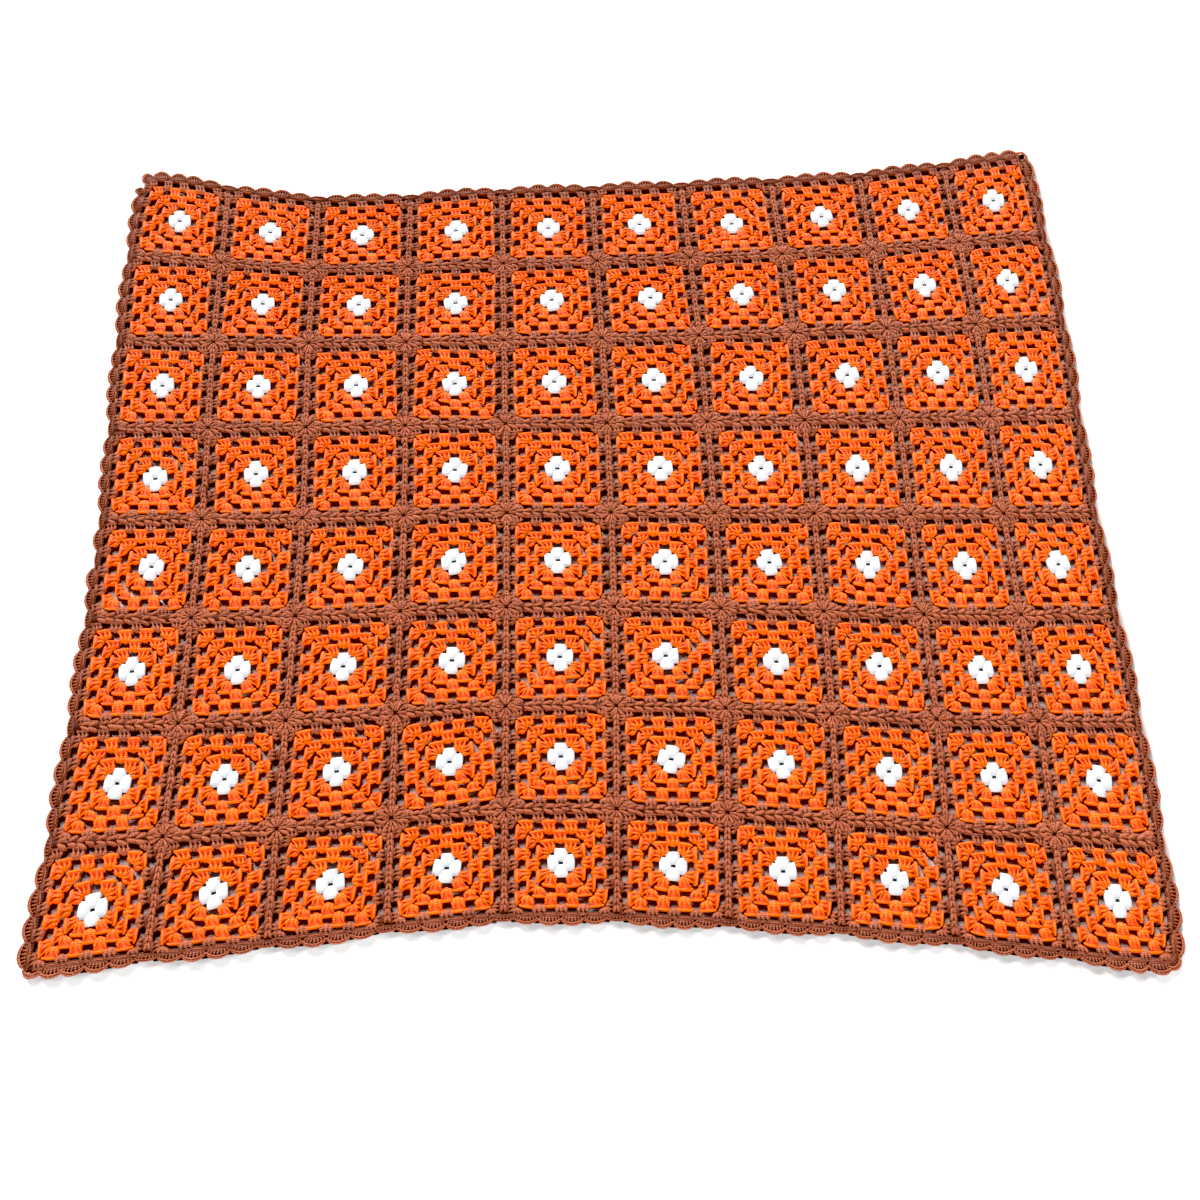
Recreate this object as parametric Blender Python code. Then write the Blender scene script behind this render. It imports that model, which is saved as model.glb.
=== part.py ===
"""Crocheted granny square blanket, ten squares by eight, lying flat with uneven edges.

The squares are joined in eight strips of ten with short raised seams, the strips
are joined by seven long raised seams, and a shell edging runs round the outside.
Metres, +Z up, underside at z = 0, +Y towards the far edge.
"""

import math

import bmesh
import bpy

MM = 0.001

# Driving sizes
COLUMNS = 10
ROWS = 8
PITCH = 132 * MM  # one square with its share of the seams
CLOTH_THICK = 4 * MM
OUTER_SHORT = 3.5 * MM  # the outer squares have no seam on their outer side
GAP = 0.4 * MM  # between neighbouring pieces, before the cloth is drawn in
MERGE = 0.001 * MM

# Long raised seams between the strips
SEAM_HALF_WIDTH = 3.5 * MM
SEAM_HEIGHT = 5.4 * MM
SEAM_SWELL = 1.06  # fuller halfway along each square
SEAM_DIP = 0.86  # drawn in where four squares meet
SEAM_SECTION = (  # share of the half width, share of the height
    (-1.0, 0.0),
    (-0.85, 0.65),
    (-0.4, 1.0),
    (0.4, 1.0),
    (0.85, 0.65),
    (1.0, 0.0),
)

# Short raised seams between two squares of a strip
CROSS_HALF_FOOT = 3.6 * MM
CROSS_HALF_CREST = 1.5 * MM
CROSS_ROOT = 1 * MM  # height inside the cloth at which the ridge starts
CROSS_END = 3 * MM  # the ridge stops this far short of the strip's edge

# Gaps beside the middle flower, over each petal: distance from the square's
# middle and half width there
FLOWER_GAP = (
    (17.0 * MM, 4.8 * MM),
    (18.8 * MM, 0.0),
    (17.0 * MM, -4.8 * MM),
    (24.5 * MM, -4.2 * MM),
    (24.5 * MM, 4.2 * MM),
)

# Shell edging: five shells to a square, the one over each seam smaller
SHELLS_PER_SQUARE = 5
SHELL_VALLEY = 9.5 * MM  # from the squares to the dip between two shells
SHELL_CREST = 15 * MM
SEAM_SHELL_CREST = 12 * MM
SEAM_PINCH = 4 * MM  # the seams draw the edging in this far, and each square swells between them
TUCKED_SHELL_CREST = 7 * MM
SHELL_POINTS = (  # along the shell, share of its rise
    (-0.5, 0.0),
    (-0.33, 0.75),
    (0.0, 1.0),
    (0.33, 0.75),
)
EDGING_THICK = 3.6 * MM
CORNER_FAN = (  # degrees round the corner, distance from it
    (0, 9.5 * MM),
    (15, 14.5 * MM),
    (30, 13 * MM),
    (45, 17 * MM),
    (60, 13 * MM),
    (75, 14.5 * MM),
    (90, 9.5 * MM),
)
FAR_CORNER_SHARE = 0.7  # the fans at the far corners are this much smaller
CORNER_SPLIT = 4 * MM  # open slit beside the far left corner
TUCKED_SHELL = -0.4 * PITCH  # place along the left side of a shell that is folded under
NEAR_LIFT = 4 * MM  # the near edging curls up this far at its rim

# How the cloth lies. Each row is one line of seam crossings, every second seam
# from the far edge to the near edge; its columns are every second seam from the
# left edge to the right edge. Values are how far the crossing has slid from an
# even lattice, in millimetres.
SLID_RIGHT = {
    "far edge": (18, 3, -4, -12, -17, -28),
    "second seam": (14, 0, -3, -2, -5, -20),
    "fourth seam": (18, 4, -2, 2, -6, -25),
    "sixth seam": (9, -3, -5, -2, -7, -19),
    "near edge": (-11, -11, -9, -16, -19, -20),
}
SLID_AWAY = {
    "far edge": (15, -27, -13, 0, 19, 59),
    "second seam": (-3, -7, -3, 4, 15, 28),
    "fourth seam": (-3, -3, 2, -1, -5, -5),
    "sixth seam": (-9, -7, 6, -1, -20, -28),
    "near edge": (-28, -5, 17, 5, -22, -62),
}
CROSSING_STEP = 2 * PITCH
CLOTH_MIDDLE = (-15 * MM, -3.5 * MM)  # middle of the slid outline, moved to the origin

YARN_COLOURS = {
    "orange_yarn": (1.0, 0.165, 0.012, 1.0),
    "brown_yarn": (0.235, 0.072, 0.04, 1.0),
}
YARN_ROUGHNESS = 0.85

HALF_WIDTH = COLUMNS * PITCH / 2
HALF_LENGTH = ROWS * PITCH / 2
EDGE_X = HALF_WIDTH - OUTER_SHORT
EDGE_Y = HALF_LENGTH - OUTER_SHORT


def smooth_between(values, place):
    """Value at a place along evenly spaced values, on a smooth curve through them."""
    last = len(values) - 1
    start = min(max(math.floor(place), 0), last - 1)
    step = place - start
    low, high = values[start], values[start + 1]
    before = values[start - 1] if start > 0 else 2 * low - high
    after = values[start + 2] if start + 2 <= last else 2 * high - low
    if step < 0 or step > 1:
        return low + (high - low) * step
    bend = 2 * before - 5 * low + 4 * high - after
    turn = 3 * (low - high) + after - before
    return low + 0.5 * step * (high - before + step * (bend + step * turn))


def slide(table, x, y):
    """How far the cloth has slid at a place of the even lattice."""
    column = (x + HALF_WIDTH) / CROSSING_STEP
    row = (HALF_LENGTH - y) / CROSSING_STEP
    return MM * smooth_between([smooth_between(line, column) for line in table.values()], row)


def lay(x, y):
    """Where a point of the even lattice lies on the floor."""
    return (
        x + slide(SLID_RIGHT, x, y) - CLOTH_MIDDLE[0],
        y + slide(SLID_AWAY, x, y) - CLOTH_MIDDLE[1],
    )


def make_material(name):
    material = bpy.data.materials.new(name)
    material.use_nodes = True
    shader = material.node_tree.nodes["Principled BSDF"]
    shader.inputs["Base Color"].default_value = YARN_COLOURS[name]
    shader.inputs["Roughness"].default_value = YARN_ROUGHNESS
    shader.inputs["Metallic"].default_value = 0.0
    return material


def to_mesh_object(curve_object, material, collection):
    """Replaces a curve by its welded mesh under the same name."""
    name = curve_object.name
    graph = bpy.context.evaluated_depsgraph_get()
    mesh = bpy.data.meshes.new_from_object(curve_object.evaluated_get(graph))
    place = curve_object.matrix_world.copy()
    data = curve_object.data
    bpy.data.objects.remove(curve_object)
    bpy.data.curves.remove(data)
    work = bmesh.new()
    work.from_mesh(mesh)
    bmesh.ops.remove_doubles(work, verts=work.verts, dist=MERGE)
    bmesh.ops.recalc_face_normals(work, faces=work.faces)
    work.to_mesh(mesh)
    work.free()
    mesh.name = name
    mesh.materials.clear()
    mesh.materials.append(material)
    made = bpy.data.objects.new(name, mesh)
    made.matrix_world = place
    collection.objects.link(made)
    return made


def flat_piece(name, outlines, thick, material, collection):
    """A flat sheet from its outline and the outlines of its gaps."""
    curve = bpy.data.curves.new(name, "CURVE")
    curve.dimensions = "2D"
    curve.fill_mode = "BOTH"
    curve.extrude = thick / 2
    for outline in outlines:
        spline = curve.splines.new("POLY")
        spline.points.add(len(outline) - 1)
        for point, (x, y) in zip(spline.points, outline):
            point.co = (*lay(x, y), 0, 1)
        spline.use_cyclic_u = True
    flat = bpy.data.objects.new(name, curve)
    flat.location.z = thick / 2
    collection.objects.link(flat)
    bpy.context.view_layer.update()
    return to_mesh_object(flat, material, collection)


def square_middle(row, column):
    return (
        (column + 0.5) * PITCH - HALF_WIDTH,
        HALF_LENGTH - (row + 0.5) * PITCH,
    )


def flower_gaps(row, column):
    """Outlines of the gaps over the petals, but for a petal that faces the edging."""
    middle_x, middle_y = square_middle(row, column)
    outward = {
        0: column == COLUMNS - 1,
        1: row == 0,
        2: column == 0,
        3: row == ROWS - 1,
    }
    gaps = []
    for quarter, at_edge in outward.items():
        if at_edge:
            continue
        cos, sin = math.cos(quarter * math.pi / 2), math.sin(quarter * math.pi / 2)
        gaps.append(
            [
                (middle_x + out * cos - side * sin, middle_y + out * sin + side * cos)
                for out, side in FLOWER_GAP
            ]
        )
    return gaps


def strip_edges(row):
    """Far and near edge of a strip, clear of the seam or edging beside it."""
    clear = SEAM_HALF_WIDTH * SEAM_SWELL + GAP
    far = EDGE_Y - GAP if row == 0 else HALF_LENGTH - row * PITCH - clear
    near = GAP - EDGE_Y if row == ROWS - 1 else HALF_LENGTH - (row + 1) * PITCH + clear
    return far, near


def cross_seams(row, cutters):
    """The raised ridges between the squares of one strip, as one helper object."""
    far, near = strip_edges(row)
    middle, half_length = (far + near) / 2, (far - near) / 2 - CROSS_END
    ridges = bmesh.new()
    for column in range(1, COLUMNS):
        seam_x = column * PITCH - HALF_WIDTH
        for corner in bmesh.ops.create_cube(ridges, size=2)["verts"]:
            side, along, top = corner.co
            half = CROSS_HALF_CREST if top > 0 else CROSS_HALF_FOOT
            shorter = CROSS_END if top > 0 else 0
            height = SEAM_HEIGHT if top > 0 else CROSS_ROOT
            place = lay(seam_x + side * half, middle + along * (half_length - shorter))
            corner.co = (*place, height)
    mesh = bpy.data.meshes.new(f"cross_seams_{row + 1}")
    ridges.to_mesh(mesh)
    ridges.free()
    helper = bpy.data.objects.new(mesh.name, mesh)
    helper.hide_render = True
    helper.display_type = "WIRE"
    cutters.objects.link(helper)
    return helper


def make_strip(row, material, collection, cutters):
    far, near = strip_edges(row)
    middle = (far + near) / 2
    left, right = GAP - EDGE_X, EDGE_X - GAP
    inner = [step * PITCH / 2 - HALF_WIDTH for step in range(1, 2 * COLUMNS)]
    stations = [left, *inner, right]
    near_side = [(x, near) for x in stations]
    far_side = [(x, far) for x in reversed(stations)]
    outlines = [[*near_side, (right, middle), *far_side, (left, middle)]]
    for column in range(COLUMNS):
        outlines += flower_gaps(row, column)
    strip = flat_piece(f"strip_{row + 1}", outlines, CLOTH_THICK, material, collection)
    union = strip.modifiers.new("cross seams", "BOOLEAN")
    union.operation = "UNION"
    union.solver = "EXACT"
    union.object = cross_seams(row, cutters)
    return strip


def seam_section(cutters):
    """Half-round section that every long seam is drawn with."""
    curve = bpy.data.curves.new("seam_section", "CURVE")
    curve.dimensions = "2D"
    spline = curve.splines.new("POLY")
    spline.points.add(len(SEAM_SECTION) - 1)
    for point, (across, up) in zip(spline.points, SEAM_SECTION):
        point.co = (across * SEAM_HALF_WIDTH, up * SEAM_HEIGHT, 0, 1)
    spline.use_cyclic_u = True
    section = bpy.data.objects.new("seam_section", curve)
    section.hide_render = True
    section.display_type = "WIRE"
    cutters.objects.link(section)
    return section


def make_row_seam(number, section, material, collection):
    """A long ridge that swells over each square and dips where four squares meet."""
    curve = bpy.data.curves.new(f"row_seam_{number}", "CURVE")
    curve.dimensions = "3D"
    curve.twist_mode = "Z_UP"
    curve.bevel_mode = "OBJECT"
    curve.bevel_object = section
    curve.use_fill_caps = True
    spline = curve.splines.new("POLY")
    spline.points.add(2 * COLUMNS)
    end = EDGE_X - GAP
    for step, point in enumerate(spline.points):
        x = min(max(step * PITCH / 2 - HALF_WIDTH, -end), end)
        point.co = (x, HALF_LENGTH - number * PITCH, 0, 1)
        point.radius = SEAM_SWELL if step % 2 else SEAM_DIP
    straight = bpy.data.objects.new(curve.name, curve)
    collection.objects.link(straight)
    bpy.context.view_layer.update()
    seam = to_mesh_object(straight, material, collection)
    for corner in seam.data.vertices:
        corner.co.xy = lay(corner.co.x, corner.co.y)
    return seam


def shell_rim(length, tucked=None):
    """Points of a row of shells along a side: place from its middle, distance out."""
    width = PITCH / SHELLS_PER_SQUARE
    count = round(length / width)
    rim = []
    for number in range(1, count):
        middle = number * width - length / 2
        crest = SHELL_CREST if number % SHELLS_PER_SQUARE else SEAM_SHELL_CREST
        if tucked is not None and abs(middle - tucked) < width / 2:
            crest = TUCKED_SHELL_CREST
        for along, rise in SHELL_POINTS:
            place = middle + along * width
            by_corner = abs(place) > (length - PITCH) / 2
            drawn_in = 0 if by_corner else (1 + math.cos(2 * math.pi * place / PITCH)) / 2
            out = SHELL_VALLEY + rise * (crest - SHELL_VALLEY)
            rim.append((place, out - SEAM_PINCH * drawn_in))
    return rim


def corner_fan(side_x, share):
    """Points round a far corner, from the right turning left."""
    fan = []
    for turn, reach in CORNER_FAN:
        angle = math.radians(turn if side_x > 0 else turn + 90)
        x, y = share * reach * math.cos(angle), share * reach * math.sin(angle)
        fan.append((side_x * EDGE_X + x, EDGE_Y + y))
    return fan


def make_long_edging(name, side, share, material, collection):
    """The far (side 1) or near (side -1) edging, with a corner fan at each end."""
    stations = [step * PITCH / 2 - HALF_WIDTH for step in range(1, 2 * COLUMNS)]
    inner = [(x, EDGE_Y) for x in [-EDGE_X, *stations, EDGE_X]]
    rim = [(-x, EDGE_Y + out) for x, out in shell_rim(2 * HALF_WIDTH)]
    outline = inner + corner_fan(1, share) + rim + corner_fan(-1, share)
    outline = [(x, side * y) for x, y in outline]
    edging = flat_piece(name, [outline], EDGING_THICK, material, collection)
    if side < 0:
        curl_up(edging, outline)
    return edging


def curl_up(edging, outline):
    """Lifts the rim of the near edging, while the side at the squares stays down."""
    laid = [(*lay(x, y), -EDGE_Y - y) for x, y in outline]
    for corner in edging.data.vertices:
        x, y = corner.co.xy
        beyond = min(laid, key=lambda point: math.hypot(point[0] - x, point[1] - y))[2]
        corner.co.z += NEAR_LIFT * min(max(beyond, 0) / SHELL_CREST, 1)


def make_short_edging(name, side, split, tucked, material, collection):
    """The right (side 1) or left (side -1) edging, between the two corner fans."""
    near, far = GAP - EDGE_Y, EDGE_Y - GAP - split
    stations = [step * PITCH / 2 - HALF_LENGTH for step in range(1, 2 * ROWS)]
    inner = [(EDGE_X, y) for y in [far, *reversed(stations), near]]
    rim = [(EDGE_X + out, y) for y, out in shell_rim(2 * HALF_LENGTH, tucked)]
    foot, head = (EDGE_X + SHELL_VALLEY, near), (EDGE_X + SHELL_VALLEY, far)
    outline = [(side * x, y) for x, y in [*inner, foot, *rim, head]]
    return flat_piece(name, [outline], EDGING_THICK, material, collection)


def main():
    for leftover in list(bpy.data.objects):
        bpy.data.objects.remove(leftover)
    blanket = bpy.data.collections.new("granny_square_blanket")
    cutters = bpy.data.collections.new("cutters")
    bpy.context.scene.collection.children.link(blanket)
    bpy.context.scene.collection.children.link(cutters)
    orange = make_material("orange_yarn")
    brown = make_material("brown_yarn")

    for row in range(ROWS):
        make_strip(row, orange, blanket, cutters)
    section = seam_section(cutters)
    for number in range(1, ROWS):
        make_row_seam(number, section, brown, blanket)
    make_long_edging("edging_far", 1, FAR_CORNER_SHARE, brown, blanket)
    make_long_edging("edging_near", -1, 1, brown, blanket)
    make_short_edging("edging_left", -1, CORNER_SPLIT, TUCKED_SHELL, brown, blanket)
    make_short_edging("edging_right", 1, 0, None, brown, blanket)


main()
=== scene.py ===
import math

import bpy
import numpy as np
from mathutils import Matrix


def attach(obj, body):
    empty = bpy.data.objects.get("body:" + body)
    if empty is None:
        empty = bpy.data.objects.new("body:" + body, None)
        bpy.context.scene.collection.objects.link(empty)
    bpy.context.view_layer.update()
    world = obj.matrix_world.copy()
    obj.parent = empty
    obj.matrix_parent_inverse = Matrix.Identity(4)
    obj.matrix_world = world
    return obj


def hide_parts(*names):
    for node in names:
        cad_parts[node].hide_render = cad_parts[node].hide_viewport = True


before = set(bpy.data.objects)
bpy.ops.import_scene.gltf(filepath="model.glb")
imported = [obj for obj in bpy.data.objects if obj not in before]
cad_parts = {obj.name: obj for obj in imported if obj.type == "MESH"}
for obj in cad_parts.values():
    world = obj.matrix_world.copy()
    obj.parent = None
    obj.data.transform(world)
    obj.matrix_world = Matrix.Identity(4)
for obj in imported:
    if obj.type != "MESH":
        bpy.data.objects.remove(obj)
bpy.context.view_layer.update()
print("frame loaded:", len(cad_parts), "nodes")

mm = 0.001
chance = np.random.default_rng(11)


# how the cloth lies, as in the solids; all lengths here are millimetres

cloth = {
    "columns": 10,
    "rows": 8,
    "pitch": 132,  # one square with its share of the seams
    "outerShort": 3.5,  # the outer squares have no seam on their outer side
    "middle": (-15, -3.5),
    "nearLift": 4,  # the near edging curls up this far at its rim
    "curlStart": 4,  # this far outside the squares
    "farDrawnIn": (330, 462, 6),  # from here on, in full from there on, and by how much
    "cornersDrawnIn": {  # right, away, and how far that is felt
        (-1, 1): (7, -5, 45),
        (1, 1): (-4, -2, 40),
        (1, -1): (-6, 5, 45),
    },
    "slidRight": {
        "far edge": (18, 3, -4, -12, -17, -28),
        "second seam": (14, 0, -3, -2, -5, -20),
        "fourth seam": (18, 4, -2, 2, -6, -25),
        "sixth seam": (9, -3, -5, -2, -7, -19),
        "near edge": (-11, -11, -9, -16, -19, -20),
    },
    "slidAway": {
        "far edge": (15, -27, -13, 0, 19, 59),
        "second seam": (-3, -7, -3, 4, 15, 28),
        "fourth seam": (-3, -3, 2, -1, -5, -5),
        "sixth seam": (-9, -7, 6, -1, -20, -28),
        "near edge": (-28, -5, 17, 5, -22, -62),
    },
}
pitch = cloth["pitch"]
halfWidth = cloth["columns"] * pitch / 2
halfLength = cloth["rows"] * pitch / 2
edgeX = halfWidth - cloth["outerShort"]
edgeY = halfLength - cloth["outerShort"]


def smoothBetween(lines, place):  # smooth curve through evenly spaced values
    last = len(lines) - 1
    start = np.clip(np.floor(place), 0, last - 1).astype(int)
    step = place - start
    ends = np.vstack([2 * lines[0] - lines[1], lines, 2 * lines[-1] - lines[-2]])
    each = np.arange(len(place))
    before, low, high, after = (ends[start + k, each] for k in range(4))
    bend = 2 * before - 5 * low + 4 * high - after
    turn = 3 * (low - high) + after - before
    curve = low + 0.5 * step * (high - before + step * (bend + step * turn))
    beyond = (step < 0) | (step > 1)
    return np.where(beyond, low + (high - low) * step, curve)


def slide(table, x, y):
    column = (x + halfWidth) / (2 * pitch)
    row = (halfLength - y) / (2 * pitch)
    lines = []
    for values in table.values():
        spread = np.repeat(np.array(values, float)[:, None], len(x), axis=1)
        lines.append(smoothBetween(spread, column))
    return smoothBetween(np.array(lines), row)


def layOnFloor(points):  # from the even lattice of squares to where the cloth lies
    x, y = points[:, 0], points[:, 1]
    laid = points.copy()
    laid[:, 0] = x + slide(cloth["slidRight"], x, y) - cloth["middle"][0]
    laid[:, 1] = y + slide(cloth["slidAway"], x, y) - cloth["middle"][1]
    begins, ends, drawn = cloth["farDrawnIn"]
    laid[:, 1] -= drawn * np.clip((y - begins) / (ends - begins), 0, 1)
    for (sideX, sideY), (right, away, reach) in cloth["cornersDrawnIn"].items():
        felt = np.exp(-((x - sideX * edgeX) ** 2 + (y - sideY * edgeY) ** 2) / reach**2)
        laid[:, :2] += np.column_stack([right * felt, away * felt])
    curled = (-edgeY - y - cloth["curlStart"]) / (edging["crest"] - cloth["curlStart"])
    laid[:, 2] += cloth["nearLift"] * np.clip(curled, 0, 1)
    return laid * mm


def squareMiddle(row, column):
    return np.array([(column + 0.5) * pitch - halfWidth, halfLength - (row + 0.5) * pitch])


# strands of yarn, each modelled once


def clearSelection():
    if bpy.context.mode != "OBJECT":
        bpy.ops.object.mode_set(mode="OBJECT")
    bpy.ops.object.select_all(action="DESELECT")


def modelStrand(shape):  # a small disc, drawn out ring by ring along +Y
    centres = list(zip(shape["aside"], shape["along"], shape["up"]))
    wide, high = shape["halfWide"], shape["halfHigh"]
    clearSelection()
    bpy.ops.mesh.primitive_circle_add(
        vertices=shape["sides"],
        radius=1,
        fill_type="NGON",
        location=centres[0],
        rotation=(math.radians(90), math.radians(shape["turned"]), 0),
    )
    strand = bpy.context.object
    bpy.ops.object.transform_apply(location=True, rotation=True, scale=True)
    bpy.ops.object.mode_set(mode="EDIT")
    bpy.ops.mesh.select_all(action="SELECT")
    bpy.ops.transform.resize(value=(wide[0], 1, high[0]), center_override=centres[0])
    for ring in range(1, len(centres)):
        step = [there - here for here, there in zip(centres[ring - 1], centres[ring])]
        bpy.ops.mesh.extrude_region_move(TRANSFORM_OT_translate={"value": step})
        grown = (wide[ring] / wide[ring - 1], 1, high[ring] / high[ring - 1])
        bpy.ops.transform.resize(value=grown, center_override=centres[ring])
    bpy.ops.mesh.select_all(action="SELECT")
    bpy.ops.mesh.normals_make_consistent(inside=False)
    bpy.ops.object.mode_set(mode="OBJECT")
    return strand


grooveShade = {  # painted shade: a strand is painted darker low on its sides and underneath; heights are shares of the strand's
    "from": 0.97,
    "steep": 1.1,
    "underside": 0.25,
    "undersideDepth": 0.4,
}


def readStrand(strand, shape):  # its points, faces, and how the yarn runs along it
    mesh = strand.data
    points = np.array([corner.co for corner in mesh.vertices], float)
    faces = [tuple(face.vertices) for face in mesh.polygons]
    centreX = np.interp(points[:, 1], shape["along"], shape["aside"])
    centreZ = np.interp(points[:, 1], shape["along"], shape["up"])
    angle = np.arctan2(points[:, 2] - centreZ, points[:, 0] - centreX)
    yarn = []
    for face in faces:
        for corner in face:
            turned = (angle[corner] - angle[face[0]] + math.pi) % (2 * math.pi) - math.pi
            yarn.append(((angle[face[0]] + turned) / (2 * math.pi), points[corner, 1]))
    bpy.data.objects.remove(strand)
    bpy.data.meshes.remove(mesh)
    halfHigh = np.interp(points[:, 1], shape["along"], shape["halfHigh"])
    height = (1 + (points[:, 2] - centreZ) / halfHigh) / 2
    # painted shade: depth darkens a strand low on its sides, underneath, and where its tucked
    # values say it runs under another strand
    untucked = (0,) * len(shape["along"])
    tucked = np.interp(points[:, 1], shape["along"], shape.get("tucked", untucked))
    depth = np.maximum(np.clip((grooveShade["from"] - height) * grooveShade["steep"], 0, 1), tucked)
    depth[height < grooveShade["underside"]] = grooveShade["undersideDepth"]
    # shade below zero paints the strand lighter, as a painted highlight
    shade = np.full(len(points), float(shape.get("shade", 0)))
    yarn = np.array(yarn)
    return {"points": points, "faces": faces, "yarn": yarn, "shade": shade, "depth": depth}


def strandForm(shape):
    return readStrand(modelStrand(shape), shape)


def turnAcross(form):  # from along +Y to along the X axis
    x, y, z = form["points"].T
    return {**form, "points": np.column_stack([-y, x, z])}


def moved(form, right=0.0, away=0.0, leaning=0.0, grown=1.0):
    x, y, z = form["points"].T
    turn = math.radians(leaning)
    x, y = x * grown, y * grown
    across = x * math.cos(turn) + y * math.sin(turn)
    outward = y * math.cos(turn) - x * math.sin(turn)
    return {**form, "points": np.column_stack([across + right, outward + away, z])}


def mirrored(form):
    x, y, z = form["points"].T
    faces, yarn, at = [], [], 0
    for face in form["faces"]:  # turned round, so that the faces still point outwards
        faces.append(face[::-1])
        yarn.append(form["yarn"][at : at + len(face)][::-1])
        at += len(face)
    points = np.column_stack([-x, y, z])
    return {**form, "points": points, "faces": faces, "yarn": np.vstack(yarn)}


def joined(forms):
    faces, first = [], 0
    for form in forms:
        faces += [tuple(corner + first for corner in face) for face in form["faces"]]
        first += len(form["points"])
    return {
        "points": np.vstack([form["points"] for form in forms]),
        "faces": faces,
        "yarn": np.vstack([form["yarn"] for form in forms]),
        "shade": np.concatenate([form["shade"] for form in forms]),
        "depth": np.concatenate([form["depth"] for form in forms]),
    }


# copies of a form, each drawn from its foot to its head

placeColumns = ("foot", "head", "footAcross", "headAcross", "high")


def onePlace(foot, head, footAcross, headAcross, high=1.0):
    return dict(zip(placeColumns, (foot, head, footAcross, headAcross, high)))


def copiesOf(form, length, places):
    x, y, z = form["points"].T
    share = (y / length)[None, :, None]
    foot, head, footAcross, headAcross = (
        np.array([place[column] for place in places], float)[:, None, :]
        for column in placeColumns[:4]
    )
    high = np.array([place["high"] for place in places])[:, None]
    across = footAcross * (1 - share) + headAcross * share
    flat = foot * (1 - share) + head * share + x[None, :, None] * across
    points = np.dstack([flat, z[None, :] * high]).reshape(-1, 3)
    count = len(x)
    faces = [
        tuple(corner + copy * count for corner in face)
        for copy in range(len(places))
        for face in form["faces"]
    ]
    # each copy's own tone at random, plus the painted highlight of lips and rims
    toneAndHighlight = np.repeat(chance.normal(0, 1, len(places)), count) + np.tile(form["shade"], len(places))
    return {
        "points": points,
        "faces": faces,
        "yarn": np.tile(form["yarn"], (len(places), 1)),
        "toneAndHighlight": toneAndHighlight,
        "depth": np.tile(form["depth"], len(places)),
    }


pieces = []


def makePiece(name, parts, material):
    points = layOnFloor(np.vstack([part["points"] for part in parts]))
    faces, first = [], 0
    for part in parts:
        faces += [tuple(corner + first for corner in face) for face in part["faces"]]
        first += len(part["points"])
    mesh = bpy.data.meshes.new(name)
    mesh.from_pydata(points.tolist(), [], faces)
    piece = bpy.data.objects.new(name, mesh)
    bpy.context.scene.collection.objects.link(piece)
    mesh.materials.append(material)
    yarn = np.vstack([part["yarn"] for part in parts])
    mesh.uv_layers.new(name="yarn").uv.foreach_set("vector", yarn.astype(np.float32).ravel())
    for shading in ("toneAndHighlight", "depth"):
        values = np.concatenate([part[shading] for part in parts]).astype(np.float32)
        mesh.attributes.new(shading, "FLOAT", "POINT").data.foreach_set("value", values)
    addBakeMap(mesh, points)
    mesh.shade_smooth()
    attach(piece, "root")
    pieces.append(piece)
    return piece


def addBakeMap(mesh, points):  # seen from above, with the underside beside it
    corners = np.empty(len(mesh.loops), np.int32)
    mesh.loops.foreach_get("vertex_index", corners)
    counts = np.empty(len(mesh.polygons), np.int32)
    mesh.polygons.foreach_get("loop_total", counts)
    normals = np.empty(len(mesh.polygons) * 3, np.float32)
    mesh.polygons.foreach_get("normal", normals)
    under = np.repeat(normals.reshape(-1, 3)[:, 2] < 0, counts)
    low, high = points[:, :2].min(0), points[:, :2].max(0)
    margin = 0.01
    share = margin + (1 - 2 * margin) * (points[corners, :2] - low) / (high - low)
    narrow = int(np.argmin(high - low))
    share[:, narrow] = (share[:, narrow] + under) / 2
    mesh.uv_layers.new(name="OFBake").uv.foreach_set("vector", share.astype(np.float32).ravel())


# yarns

# light to dark spans each yarn's own tone at random; the same mix towards dark paints the shade in
# grooves, and the deepest colour is the painted shade at their bottom
yarns = {
    "orange_yarn": {
        "light": (0.97, 0.18, 0.01),
        "dark": (0.72, 0.05, 0.002),
        "deepShade": (0.07, 0.012, 0.004),
        "gloss": 0.32,
        "sheen": 0.06,
        "bump": 0.6,
    },
    "brown_yarn": {
        "light": (0.51, 0.134, 0.059),
        "dark": (0.16, 0.034, 0.013),
        "deepShade": (0.03, 0.006, 0.003),
        "gloss": 0.32,
        "sheen": 0.06,
        "bump": 0.8,
    },
    "white_yarn": {
        "light": (0.655, 0.66, 0.68),
        "dark": (0.61, 0.62, 0.65),
        "deepShade": (0.4, 0.42, 0.47),
        "gloss": 0.2,
        "sheen": 0.0,
        "bump": 0.25,
    },
}
yarnDetail = {  # the same in all three
    "rough": 0.5,
    "twist": (1.26, 0.23, 1),  # bands of twist round a strand and along it
    "unevenTwist": 0.6,
    "fibres": 430,
    "patches": 45,
    "tintShare": 0.07,  # how much each of them does to the colour
    "patchShare": 0.35,
    # the twist bands paint light and shade along the plies of the yarn
    "twistShare": 0.35,
    "lightToDark": (0.35, 0.75),
    "darkest": 0.6,
    "groove": (0.2, 0.65),  # depth where the painted shade of a groove starts, and where it is full
    # from this depth on, the colour goes to the painted deep shade and the gloss goes
    "bottom": 0.7,
    "fibreHills": 0.3,
    "hillHeight": 0.6 * mm,
}


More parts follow.
